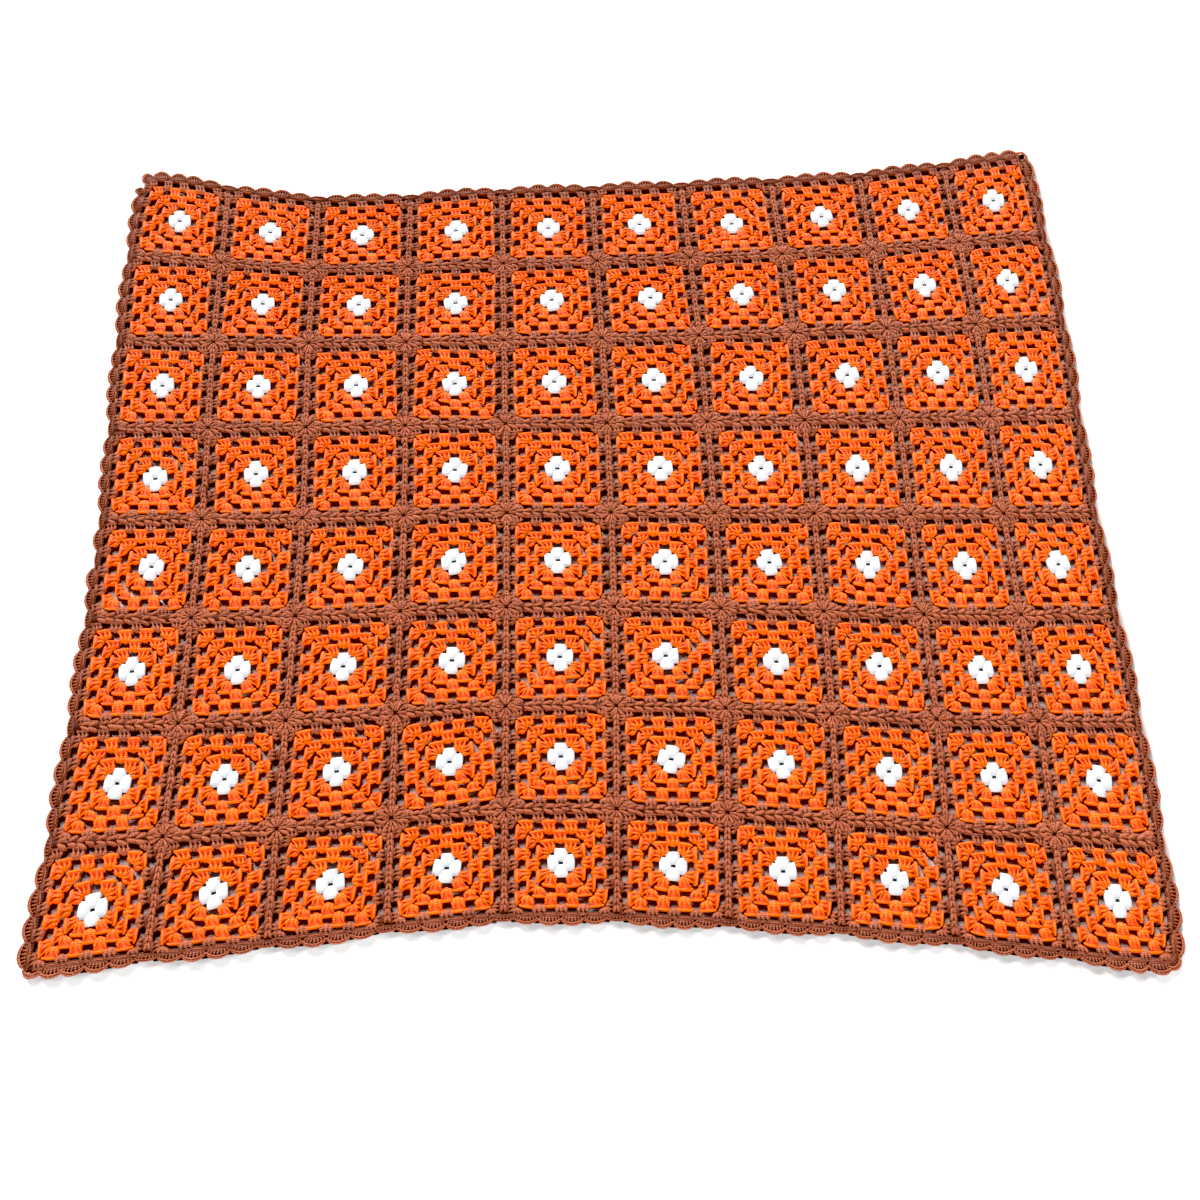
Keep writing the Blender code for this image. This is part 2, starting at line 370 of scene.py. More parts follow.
def yarnMaterial(name):
    look = yarns[name]
    material = bpy.data.materials.new(name)
    material.use_nodes = True
    nodes, links = material.node_tree.nodes, material.node_tree.links
    shader = nodes["Principled BSDF"]
    shader.inputs["Roughness"].default_value = yarnDetail["rough"]
    shader.inputs["Sheen Weight"].default_value = look["sheen"]
    shader.inputs["Sheen Roughness"].default_value = yarnDetail["rough"]

    run = nodes.new("ShaderNodeUVMap")
    run.uv_map = "yarn"
    plies = nodes.new("ShaderNodeMapping")
    plies.inputs["Scale"].default_value = yarnDetail["twist"]
    links.new(run.outputs["UV"], plies.inputs["Vector"])
    twist = nodes.new("ShaderNodeTexWave")
    twist.bands_direction = "DIAGONAL"
    twist.inputs["Scale"].default_value = 1.0
    twist.inputs["Distortion"].default_value = yarnDetail["unevenTwist"]
    links.new(plies.outputs["Vector"], twist.inputs["Vector"])

    place = nodes.new("ShaderNodeTexCoord")
    fibres = nodes.new("ShaderNodeTexNoise")
    fibres.inputs["Scale"].default_value = yarnDetail["fibres"]
    fibres.inputs["Detail"].default_value = 4
    links.new(place.outputs["Object"], fibres.inputs["Vector"])
    patches = nodes.new("ShaderNodeTexNoise")
    patches.inputs["Scale"].default_value = yarnDetail["patches"]
    links.new(place.outputs["Object"], patches.inputs["Vector"])

    # each copy's tone at random, with the painted highlight of lips and rims
    toneAndHighlight = nodes.new("ShaderNodeAttribute")
    toneAndHighlight.attribute_name = "toneAndHighlight"
    shade = nodes.new("ShaderNodeMath")
    shade.operation = "MULTIPLY_ADD"
    shade.inputs[1].default_value = yarnDetail["tintShare"]
    links.new(toneAndHighlight.outputs["Fac"], shade.inputs[0])
    links.new(fibres.outputs["Fac"], shade.inputs[2])
    spotted = nodes.new("ShaderNodeMath")
    spotted.operation = "MULTIPLY_ADD"
    spotted.inputs[1].default_value = yarnDetail["patchShare"]
    links.new(patches.outputs["Fac"], spotted.inputs[0])
    links.new(shade.outputs["Value"], spotted.inputs[2])
    mixed = nodes.new("ShaderNodeMath")
    mixed.operation = "MULTIPLY_ADD"
    mixed.inputs[1].default_value = -yarnDetail["twistShare"]
    links.new(twist.outputs["Fac"], mixed.inputs[0])
    links.new(spotted.outputs["Value"], mixed.inputs[2])
    ramp = nodes.new("ShaderNodeMapRange")
    ramp.inputs["From Min"].default_value = yarnDetail["lightToDark"][0]
    ramp.inputs["From Max"].default_value = yarnDetail["lightToDark"][1]
    ramp.inputs["To Max"].default_value = yarnDetail["darkest"]
    links.new(mixed.outputs["Value"], ramp.inputs["Value"])

    depth = nodes.new("ShaderNodeAttribute")  # painted shade: darker low in a groove, darkest at the bottom
    depth.attribute_name = "depth"
    groove = nodes.new("ShaderNodeMapRange")
    groove.interpolation_type = "SMOOTHSTEP"
    groove.inputs["From Min"].default_value = yarnDetail["groove"][0]
    groove.inputs["From Max"].default_value = yarnDetail["groove"][1]
    links.new(depth.outputs["Fac"], groove.inputs["Value"])
    darkened = nodes.new("ShaderNodeMath")
    darkened.use_clamp = True
    links.new(groove.outputs["Result"], darkened.inputs[0])
    links.new(ramp.outputs["Result"], darkened.inputs[1])
    colour = nodes.new("ShaderNodeMix")
    colour.data_type = "RGBA"
    colour.inputs[6].default_value = (*look["light"], 1)
    colour.inputs[7].default_value = (*look["dark"], 1)
    links.new(darkened.outputs["Value"], colour.inputs["Factor"])
    lowest = nodes.new("ShaderNodeMapRange")
    lowest.interpolation_type = "SMOOTHSTEP"
    lowest.inputs["From Min"].default_value = yarnDetail["bottom"]
    links.new(depth.outputs["Fac"], lowest.inputs["Value"])
    gloss = nodes.new("ShaderNodeMapRange")  # none at the bottom
    gloss.inputs["To Min"].default_value = look["gloss"]
    gloss.inputs["To Max"].default_value = 0
    links.new(lowest.outputs["Result"], gloss.inputs["Value"])
    links.new(gloss.outputs["Result"], shader.inputs["Specular IOR Level"])
    deepened = nodes.new("ShaderNodeMix")
    deepened.data_type = "RGBA"
    deepened.inputs[7].default_value = (*look["deepShade"], 1)
    links.new(lowest.outputs["Result"], deepened.inputs["Factor"])
    links.new(colour.outputs[2], deepened.inputs[6])
    links.new(deepened.outputs[2], shader.inputs["Base Color"])

    hills = nodes.new("ShaderNodeMath")
    hills.operation = "MULTIPLY_ADD"
    hills.inputs[1].default_value = yarnDetail["fibreHills"]
    links.new(fibres.outputs["Fac"], hills.inputs[0])
    links.new(twist.outputs["Fac"], hills.inputs[2])
    bump = nodes.new("ShaderNodeBump")
    bump.inputs["Strength"].default_value = look["bump"]
    bump.inputs["Distance"].default_value = yarnDetail["hillHeight"]
    links.new(hills.outputs["Value"], bump.inputs["Height"])
    links.new(bump.outputs["Normal"], shader.inputs["Normal"])
    return material


orangeYarn = yarnMaterial("orange_yarn")
brownYarn = yarnMaterial("brown_yarn")
whiteYarn = yarnMaterial("white_yarn")
print("yarns ready")


# the group of three trebles that the rounds are made of

# tucked paints shade on a strand, from none to full, where it runs under another
treble = {
    "sides": 4,
    "turned": 0,
    "along": (0, 4.5, 9.6, 14.6),
    "aside": (0, 0, 0, 0),
    "up": (3.3, 3.6, 3.3, 2.9),
    "halfWide": (3.0, 4.5, 1.6, 3.4),
    "halfHigh": (2.8, 3.3, 2.7, 2.1),
    "tucked": (0.1, 0, 0.2, 0.3),
}
sideTreble = {**treble, "aside": (0, 0, 0.8, 1.3)}
borderTreble = {  # the same in the round beside a seam, longer for want of a lip
    **treble,
    "along": (0, 4.5, 9.6, 17),
    "up": (3.2, 3.5, 3.3, 2.5),
    "halfWide": (3.0, 4.7, 1.3, 3.4),
    "halfHigh": (2.6, 3.3, 2.7, 1.9),
    "tucked": (0.1, 0, 0.2, 0.5),
}
lip = {  # the chain along the top of a group, painted lighter as a highlight
    "sides": 4,
    "turned": 0,
    "along": (-8.8, -7.0, 0, 7.0, 8.8),
    "aside": (13.8, 14.8, 15.0, 14.8, 13.8),
    "up": (3.0, 3.8, 3.9, 3.8, 3.0),
    "halfWide": (1.7, 2.5, 2.6, 2.5, 1.7),
    "halfHigh": (1.4, 2.1, 2.2, 2.1, 1.4),
    "shade": -2.5,
}
groupPad = {  # what is seen between the trebles of a group, with a dent in the middle painted darker as shade
    "sides": 4,
    "turned": 45,
    "along": (-1.8, 2.2, 9.2, 12, 15.4),
    "aside": (0, 0, 0, 0, 0),
    "up": (2.6, 3.3, 3.0, 3.2, 3.0),
    "halfWide": (3.6, 7.2, 8.0, 8.6, 8.8),
    "halfHigh": (1.6, 3.3, 2.4, 3.0, 2.7),
    "tucked": (0.1, 0, 0.7, 0.5, 0.2),
}
# the pad beside a seam, its dent painted darkest as shade
borderPad = {**groupPad, "tucked": (0.2, 0.1, 1, 0.5, 0.4)}
group = {
    "length": 17.5,
    "trebleStep": 4.7,
    "wide": 1.14,
    "borderWide": 1.06,
    "footNarrow": 0.75,  # width at the foot, as a share of the width at the head
    "cornerWide": 1.05,
    "cornerTurn": 12,  # degrees that the foot of a corner group turns to the corner
    "unevenWide": 0.05,
    "unevenHigh": 0.05,
    "unevenTurn": 3,  # degrees
    "wander": 0.45,
}
rounds = {  # the five rounds of a square in turn, the flower first
    "outer": (15.5, 29.5, 41.0, 54.2, 65),  # from the square's middle to each round's edge
    "cornerIn": (0, 15.4, 15.6, 14.6, 14.4),  # from the corner in to the last group of a side
    "footIn": (0, 4.2, 4.2, 4.2, 3.4),  # a group starts this far inside the round below
    "cornerFootIn": (0, 1.8, 0.6, 0.6, 0.6),
    "cornerFootAside": (0, 4.4, 2.6, 2.6, 3.6),
    "cornerNarrow": (0, 0.56, 0.66, 0.66, 0.55),
    "cornerShift": 0.5,
    "lean": (1.2, 0.9),  # the head of each group stands behind its foot; mean and spread
    "turn": (0, 1.2),  # degrees, mean and spread over the squares
    "flowerTurn": (2, 4),
    "wander": 0.7,
    "settled": (0, -2),
    "tugged": {  # squares whose middle lies off, by row and column
        (0, 6): (0, -6),
        (1, 5): (4, 0),
        (1, 9): (-5, 0),
        (3, 0): (0, -6),
        (4, 0): (6, 3),
        (5, 5): (-5, 3),
        (7, 0): (0, -7),
        (7, 2): (0, -4),
    },
    "tugShare": (1, 0.7, 0.4, 0.1, 0),  # of each round, from the flower outwards
}

trebleForm = strandForm(treble)
lipForm = turnAcross(strandForm(lip))
borderTrebleForm = strandForm(borderTreble)
steps = [step * group["trebleStep"] for step in (-1, 0, 1)]
sideTrebleForm = moved(strandForm(sideTreble), right=steps[2])
padForm = strandForm(groupPad)
groupForm = joined([mirrored(sideTrebleForm), trebleForm, sideTrebleForm, lipForm, padForm])
borderForm = joined(
    [moved(borderTrebleForm, right=step * group["borderWide"]) for step in steps]
    + [strandForm(borderPad)]
)
print("group of trebles:", len(groupForm["faces"]), "faces")


def turnBy(points, degrees):
    turn = math.radians(degrees)
    x, y = points[..., 0], points[..., 1]
    right = x * math.cos(turn) - y * math.sin(turn)
    away = x * math.sin(turn) + y * math.cos(turn)
    return np.stack([right, away], -1)


squareCharacter = {}  # each square is worked and laid a little differently
for row in range(cloth["rows"]):
    for column in range(cloth["columns"]):
        squareCharacter[row, column] = {
            "turn": chance.normal(*rounds["turn"]),
            "flowerTurn": chance.normal(*rounds["flowerTurn"]),
            "lean": chance.normal(*rounds["lean"]),
            "shift": chance.normal(0, rounds["wander"], 2) + rounds["settled"],
            "tug": np.array(rounds["tugged"].get((row, column), (0, 0)), float),
        }


def groupPlaces(row, column, number):
    outer, inner = rounds["outer"][number - 1], rounds["outer"][number - 2]
    cornerIn, innerCornerIn = rounds["cornerIn"][number - 1], rounds["cornerIn"][number - 2]
    heads = np.linspace(cornerIn - outer, outer - cornerIn, number)
    below = np.linspace(innerCornerIn - inner, inner - innerCornerIn, number - 1)
    gapMiddles = (below[1:] + below[:-1]) / 2
    corner = inner - rounds["cornerFootAside"][number - 1]
    feet = [-corner, *gapMiddles, corner]
    character = squareCharacter[row, column]
    places = []
    for side in range(4):
        for step, (headAt, footAt) in enumerate(zip(heads, feet)):
            atCorner = step in (0, number - 1)
            footOut = inner - rounds["cornerFootIn" if atCorner else "footIn"][number - 1]
            turn = -group["cornerTurn"] * np.sign(headAt) if atCorner else 0
            narrow = rounds["cornerNarrow"][number - 1] if atCorner else group["footNarrow"]
            size = group["wide"] * (1 + chance.normal(0, group["unevenWide"]))
            if atCorner:
                size *= group["cornerWide"]
                headAt += rounds["cornerShift"] * np.sign(headAt)
            frameOf = side * 90 + character["turn"]
            foot = np.array([footAt, footOut]) + chance.normal(0, group["wander"], 2)
            head = np.array([headAt - character["lean"], outer])
            head = head + chance.normal(0, group["wander"], 2)
            footAcross = turnBy(np.array([narrow * size, 0]), turn)
            headTurn = turn / 3 + chance.normal(0, group["unevenTurn"])
            headAcross = turnBy(np.array([size, 0]), headTurn)
            shift = squareMiddle(row, column) + character["shift"]
            shift = shift + character["tug"] * rounds["tugShare"][number - 1]
            places.append(
                onePlace(
                    turnBy(foot, frameOf) + shift,
                    turnBy(head, frameOf) + shift,
                    turnBy(footAcross, frameOf),
                    turnBy(headAcross, frameOf),
                    high=1 + chance.normal(0, group["unevenHigh"]),
                )
            )
    return places


# the flower in the middle of a square

petal = {
    "length": 18.2,
    "reach": (17.7, 16.2),  # petals towards and away, petals to the sides
    "wide": (1.0, 1.22),
    "start": (1.8, 2.7),
    "unevenTurn": 2,  # degrees
    "unevenReach": 0.02,
    "unevenWide": 0.03,
}
petalPad = {
    "sides": 8,
    "turned": 22.5,
    "along": (0, 3, 8, 14, 17, 18.2),
    "aside": (0, 0, 0, 0, 0, 0),
    "up": (3.2, 3.7, 3.9, 3.9, 3.7, 3.3),
    "halfWide": (5.2, 8.2, 8.6, 9.1, 9.2, 8.2),
    "halfHigh": (1.7, 2.2, 2.3, 2.3, 2.1, 1.5),
}
petalLip = {
    "sides": 5,
    "turned": 0,
    "along": (-7.4, -6.0, 0, 6.0, 7.4),
    "aside": (13.6, 16.2, 17.0, 16.2, 13.6),
    "up": (3.8, 4.4, 4.6, 4.4, 3.8),
    "halfWide": (1.1, 1.3, 1.4, 1.3, 1.1),
    "halfHigh": (1.1, 1.4, 1.5, 1.4, 1.1),
}
petalForm = joined([strandForm(petalPad), turnAcross(strandForm(petalLip))])


def petalPlaces(row, column):
    character = squareCharacter[row, column]
    middle = squareMiddle(row, column) + character["shift"] + character["tug"]
    places = []
    for side in range(4):
        turn = side * 90 + character["flowerTurn"] + chance.normal(0, petal["unevenTurn"])
        reach = petal["reach"][side % 2] * (1 + chance.normal(0, petal["unevenReach"]))
        wide = petal["wide"][side % 2] * (1 + chance.normal(0, petal["unevenWide"]))
        places.append(
            onePlace(
                turnBy(np.array([0, petal["start"][side % 2]]), turn) + middle,
                turnBy(np.array([0, reach]), turn) + middle,
                turnBy(np.array([wide, 0]), turn),
                turnBy(np.array([wide, 0]), turn),
            )
        )
    return places


# the chain of leaf-shaped stitches along the seams

# tucked paints shade where a stitch runs under the next
seamLeaf = {
    "sides": 4,
    "turned": 0,
    "along": (0, 3.5, 9.5, 13),
    "aside": (0.7, 1.9, 3.9, 4.8),
    "up": (3.2, 4.2, 4.3, 3.0),
    "halfWide": (1.2, 2.8, 2.9, 1.2),
    "halfHigh": (0.9, 2.1, 2.2, 0.9),
    "tucked": (0.5, 0, 0, 0.4),
}
crossLeaf = {  # flatter, more like a cord
    **seamLeaf,
    "aside": (0.9, 1.6, 2.7, 3.4),
    "halfWide": (1.3, 2.7, 2.8, 1.5),
}
seamHump = {  # the strand that bulges between two groups of the border
    "sides": 4,
    "turned": 0,
    "along": (-7.5, -4.5, 4.5, 7.5),
    "aside": (-1.6, 0, 0, -1.6),
    "up": (2.4, 2.8, 2.8, 2.4),
    "halfWide": (1.0, 2.0, 2.0, 1.0),
    "halfHigh": (0.9, 1.7, 1.7, 0.9),
    "tucked": (0.4, 0, 0, 0.4),
}
coreRings = 13
seamCore = {  # the flat inside of a seam, over one square, painted dark as shade
    "sides": 4,
    "turned": 45,
    "along": tuple(range(0, pitch + 1, pitch // (coreRings - 1))),
    "aside": (0,) * coreRings,
    "up": (2.4,) * coreRings,
    "halfWide": (6.4,) * coreRings,
    "halfHigh": (2.9,) * coreRings,
    "tucked": (0.85,) * coreRings,
}
seam = {
    "row": {"stitches": 10, "wide": 1.1, "overlap": 1.3, "rough": 0.9},
    "cross": {"stitches": 15, "wide": 0.86, "overlap": 1.4, "rough": 0.3},
    "stitchLength": 13,
    "short": 9,  # the chains stop this far short of a crossing
    "crossCoreWide": 0.8,
    "unevenWide": 0.08,
    "unevenHigh": 0.04,
    "humpsAt": (-38.5, -12.8, 12.8, 38.5),  # from the middle of a square
    "humpOut": 4.9,
    "humpWander": 0.4,
}
leafForm = strandForm(seamLeaf)
stitchForm = joined([leafForm, mirrored(leafForm)])
crossLeafForm = strandForm(crossLeaf)
crossStitchForm = joined([crossLeafForm, mirrored(crossLeafForm)])
humpForm = turnAcross(strandForm(seamHump))
coreForm = strandForm(seamCore)
# the band that the shells stand on, painted dark as shade
bandForm = strandForm({**seamCore, "tucked": (0.75,) * coreRings})
# a strand painted fully dark, as a shadow
curlShadowForm = turnAcross(strandForm({**seamHump, "tucked": (1,) * 4}))


def chainPlaces(start, end, chain):
    start, end = np.array(start, float), np.array(end, float)
    step = (end - start) / chain["stitches"]
    across = np.array([step[1], -step[0]]) / np.linalg.norm(step)
    places = []
    for number in range(chain["stitches"]):
        foot = start + number * step + chance.normal(0, chain["rough"], 2)
        size = chain["wide"] * (1 + chance.normal(0, seam["unevenWide"]))
        head = foot + step * chain["overlap"] + chance.normal(0, chain["rough"], 2)
        high = 1 + chance.normal(0, seam["unevenHigh"])
        places.append(onePlace(foot, head, across * size, across * size, high=high))
    return places


def humpPlaces(x, y):
    places = []
    for side in (1, -1):
        for at in seam["humpsAt"]:
            foot = np.array([x + at, y + side * seam["humpOut"]])
            foot = foot + chance.normal(0, seam["humpWander"], 2)
            across = np.array([float(side), 0])
            places.append(onePlace(foot, foot + np.array([0, side]), across, across))
    return places


# the strands that run together where four squares meet

burst = {
    "length": 15,
    "turns": (0, 27, 63),  # degrees, again in each quarter
    "wide": (1.3, 1.6, 1.6),
    "reach": (13, 18, 18),
    "start": 0.3,
    "unevenTurn": 3,  # degrees
    "uneven": 0.06,
    "unevenHigh": 0.05,
}
# tucked paints shade where a strand runs under the others
burstLeaf = {
    "sides": 4,
    "turned": 0,
    "along": (0, 4, 11, 15),
    "aside": (0, 0, 0, 0),
    "up": (3.0, 4.6, 4.6, 3.4),
    "halfWide": (0.5, 1.1, 2.1, 1.2),
    "halfHigh": (0.8, 1.7, 2.0, 0.9),
    "tucked": (0.7, 0.1, 0, 0.4),
}
burstPad = {  # the ground under the strands of a crossing, painted dark as shade
    "sides": 4,
    "turned": 45,
    "along": (-13, -9, 0, 9, 13),
    "aside": (0, 0, 0, 0, 0),
    "up": (2.2, 2.6, 2.8, 2.6, 2.2),
    "halfWide": (7, 13, 18, 13, 7),
    "halfHigh": (2.0, 2.6, 3.0, 2.6, 2.0),
    "tucked": (0.6, 0.75, 1, 0.75, 0.6),
}
burstForm = strandForm(burstLeaf)
burstPadForm = strandForm(burstPad)


def burstPlaces(x, y):
    places = []
    centre = np.array([x, y])
    for quarter in range(4):
        for degrees, wide, reach in zip(burst["turns"], burst["wide"], burst["reach"]):
            turn = math.radians(90 * quarter + degrees + chance.normal(0, burst["unevenTurn"]))
            out = np.array([math.cos(turn), math.sin(turn)])
            across = np.array([out[1], -out[0]]) * wide * (1 + chance.normal(0, burst["uneven"]))
            foot = centre + out * burst["start"]
            head = centre + out * reach * (1 + chance.normal(0, burst["uneven"]))
            high = 1 + chance.normal(0, burst["unevenHigh"])
            places.append(onePlace(foot, head, across, across, high=high))
    return places


# the shells of the edging

edging = {
    "perSquare": 5,
    "crest": 15,
    "seamCrest": 12,
    "tuckedCrest": 7,
    "pinch": 4,  # the seams draw the edging in this far
    "bandOut": 1.2,  # the band that the shells stand on
    "bandWide": 0.8,
    "bandHigh": 0.85,
    "curlShadowIn": 4.6,  # a strand painted dark as the shadow below the curled near edge, this far in from the crests
    "curlShadowWide": 0.9,
    "curlShadowHigh": 0.4,
    "length": 16.0,
    "endWide": 1.15,  # the last shell of a side reaches further round
    "endShift": 2,
    "cornerFoot": (-6, -6),  # from the corner of the cloth
    "cornerHeads": {  # how far out, and the width at the foot and at the head
        (1, 1): (7, 7, 0.6, 1.0),
        (-1, 1): (6, 7, 0.5, 0.8),
        (-1, -1): (-5, 12.5, 0.6, 1.0),
        (1, -1): (4, 6, 0.6, 1.0),
    },
    "cornerSlit": ((1, 1), (-1, -1)),  # corners whose loop is left open
}
sides = {  # shells that are folded under, moved along or drawn together are given by number
    "edging_far": {
        "length": 2 * halfWidth,
        "edge": edgeY,
        "turn": 0,
        "nudged": {1: 0, 2: 2},
        "corners": ((1, 1), (-1, 1)),
    },
    "edging_left": {
        "length": 2 * halfLength,
        "edge": edgeX,
        "turn": 90,
        "tucked": (18,),
        "nudged": {1: -9, 2: -9, 3: -8, 4: -7, 5: -4, 37: 2, 38: 5, 39: 1},
        "curled": {39: 0.4},
        "bandShort": pitch / edging["perSquare"],  # at its far end
    },
    "edging_near": {
        "length": 2 * halfWidth,
        "edge": edgeY,
        "turn": 180,
        "nudged": {49: -4},
        "corners": ((1, -1), (-1, -1)),
    },
    "edging_right": {"length": 2 * halfLength, "edge": edgeX, "turn": 270},
}
# tucked paints shade where a stitch runs under the rim
shellTreble = {
    "sides": 4,
    "turned": 0,
    "along": (0, 4.5, 9.5, 12.5),
    "aside": (0, 0, 0, 0),
    "up": (2.6, 3.3, 3.2, 2.6),
    "halfWide": (2.2, 2.2, 1.4, 1.1),
    "halfHigh": (1.6, 2.4, 2.2, 1.7),
    "tucked": (0.4, 0.25, 0.35, 0.9),
}
shellFan = {
    "right": (-8.8, -5.9, -2.95, 0, 2.95, 5.9, 8.8),
    "away": (0.4, 0.2, 0, 0, 0, 0.2, 0.4),
    "leaning": (-22, -14, -7, 0, 7, 14, 22),
    "grown": (0.82, 0.98, 1.05, 1.08, 1.05, 0.98, 0.82),
}
# the pad under a shell, painted dark towards the rim as the shade in the slots between its
# stitches
shellPad = {
    "sides": 4,
    "turned": 45,
    "along": (0, 3, 6.5, 9, 12.5),
    "aside": (0, 0, 0, 0, 0),
    "up": (2.6, 2.9, 2.5, 2.0, 1.9),
    "halfWide": (14, 16, 17, 15.5, 11.5),
    "halfHigh": (2.9, 3.3, 2.4, 1.8, 1.6),
    "tucked": (0.5, 0.5, 0.7, 1, 1),
}
# the rim of a shell, painted lighter as a highlight by its shade below zero
shellRim = {
    "sides": 4,
    "turned": 0,
    "along": (-14.4, -12.2, -8.6, -4.3, 0, 4.3, 8.6, 12.2, 14.4),
    "aside": (7.2, 8.9, 12.2, 14.3, 14.8, 14.3, 12.2, 8.9, 7.2),
    "up": (2.2, 2.5, 2.6, 2.7, 2.7, 2.7, 2.6, 2.5, 2.2),
    "halfWide": (1.2, 1.6, 1.5, 1.4, 1.3, 1.4, 1.5, 1.6, 1.2),
    "halfHigh": (1.4, 1.8, 1.9, 1.9, 1.9, 1.9, 1.9, 1.8, 1.4),
    "shade": -2,
}
innerRim = {
    **shellRim,
    "aside": (6.0, 7.3, 9.9, 11.8, 12.3, 11.8, 9.9, 7.3, 6.0),
    "up": (3.6, 4.1, 4.4, 4.5, 4.5, 4.5, 4.4, 4.1, 3.6),
    "halfWide": (1.0, 1.3, 1.3, 1.2, 1.1, 1.2, 1.3, 1.3, 1.0),
    "halfHigh": (1.0, 1.3, 1.3, 1.3, 1.3, 1.3, 1.3, 1.3, 1.0),
}
# tucked paints shade at its ends, under the stitches
shellArch = {  # the chain that the stitches of a shell are drawn through
    "sides": 4,
    "turned": 0,
    "along": (-13, -9.5, -5, 0, 5, 9.5, 13),
    "aside": (5.4, 2.6, 0.9, 0.2, 0.9, 2.6, 5.4),
    "up": (2.2, 3.0, 3.4, 3.6, 3.4, 3.0, 2.2),
    "halfWide": (0.8, 1.5, 1.8, 1.9, 1.8, 1.5, 0.8),
    "halfHigh": (1.2, 1.9, 2.2, 2.3, 2.2, 1.9, 1.2),
    "tucked": (0.6, 0.35, 0.3, 0.3, 0.3, 0.35, 0.6),
}
shellTrebleForm = strandForm(shellTreble)
shellPosts = [moved(shellTrebleForm, *posts) for posts in zip(*shellFan.values())]
shellRims = [turnAcross(strandForm(shellRim)), turnAcross(strandForm(innerRim))]
shellGround = [strandForm(shellPad), turnAcross(strandForm(shellArch))]
shellForm = joined(shellPosts + shellRims + shellGround)
slitForm = joined(shellPosts[:2] + shellPosts[-2:] + shellRims)
print("shell:", len(shellForm["faces"]), "faces")


def cornerPlace(right, away):
    *head, footWide, headWide = edging["cornerHeads"][right, away]
    foot, head = (np.array(end) * (right, away) for end in (edging["cornerFoot"], head))
    corner = np.array([right * edgeX, away * edgeY])
    out = (head - foot) / np.linalg.norm(head - foot)
    across = np.array([out[1], -out[0]])
    return onePlace(corner + foot, corner + head, across * footWide, across * headWide)


def pinchAt(along):  # most at the seams, none at the middle of a square
    return edging["pinch"] * (1 + math.cos(2 * math.pi * along / pitch)) / 2


def shellPlaces(side):
    width = pitch / edging["perSquare"]
    count = round(side["length"] / width)
    places = []
    for number in range(1, count):
        at = number * width - side["length"] / 2
        crest = edging["crest"] if number % edging["perSquare"] else edging["seamCrest"]
        if number in side.get("tucked", ()):
            crest = edging["tuckedCrest"]
        drawnIn = pinchAt(at) if abs(at) < (side["length"] - pitch) / 2 else 0
        wide = side.get("curled", {}).get(number, 1)
        if number in side.get("nudged", {}):
            at += side["nudged"][number]
        elif number in (1, count - 1):
            at += math.copysign(edging["endShift"], at)
            wide *= edging["endWide"]
        foot = turnBy(np.array([at, side["edge"]]), side["turn"])
        head = turnBy(np.array([at, side["edge"] + crest - drawnIn]), side["turn"])
        across = turnBy(np.array([wide, 0]), side["turn"])
        places.append(onePlace(foot, head, across, across))
    return places


def bandPlaces(side):
    places = []
    across = turnBy(np.array([0, -edging["bandWide"]]), side["turn"])
    starts = [at - side["length"] / 2 for at in range(0, round(side["length"]), pitch)]
    for start in starts:
        end = start + pitch
        if start == starts[-1]:
            end -= side.get("bandShort", 0)
        out = side["edge"] + edging["bandOut"]
        ends = [turnBy(np.array([at, out]), side["turn"]) for at in (start, end)]
        places.append(onePlace(*ends, across, across, high=edging["bandHigh"]))
    return places


# where the painted shadow under the curled near edge lies
def curlShadowPlaces(side):
    places = []
    across = turnBy(np.array([edging["curlShadowWide"], 0]), side["turn"])
    width = pitch / edging["perSquare"]
    for number in range(round(side["length"] / width)):
        at = (number + 0.5) * width - side["length"] / 2
        out = side["edge"] + edging["crest"] - pinchAt(at) - edging["curlShadowIn"]
        ends = [turnBy(np.array([at, out + step]), side["turn"]) for step in (0, 1)]
        places.append(onePlace(*ends, across, across, high=edging["curlShadowHigh"]))
    return places


# the strips, ten squares each with the short seams between them

columns = range(cloth["columns"])
shortSeams = [column * pitch - halfWidth for column in columns[1:]]


def makeStrip(row):
    orange = copiesOf(groupForm, group["length"], [
        place
        for column in columns
        for number in (2, 3, 4)
        for place in groupPlaces(row, column, number)
    ])
    border = copiesOf(borderForm, group["length"], [
        place for column in columns for place in groupPlaces(row, column, 5)
    ])
    petals = copiesOf(petalForm, petal["length"], [
        place for column in columns for place in petalPlaces(row, column)
    ])
    middle = squareMiddle(row, 0)[1]
    near, far = middle - pitch / 2, middle + pitch / 2
    chains = []
    for x in shortSeams:
        chains += chainPlaces((x, far - seam["short"]), (x, near + seam["short"]), seam["cross"])
    across = np.array([-seam["crossCoreWide"], 0])
    cores = [onePlace(np.array([x, far]), np.array([x, near]), across, across) for x in shortSeams]
    brown = [
        border,
        copiesOf(crossStitchForm, seam["stitchLength"], chains),
        copiesOf(coreForm, pitch, cores),
    ]
    name = f"strip_{row + 1}"
    strip = {
        "orange": makePiece(f"{name}_rounds", [orange], orangeYarn),
        "brown": makePiece(f"{name}_border", brown, brownYarn),
        "white": makePiece(f"{name}_flowers", [petals], whiteYarn),
    }
    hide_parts(name)
    return strip


strips = [makeStrip(row) for row in range(cloth["rows"])]
print("strips made")


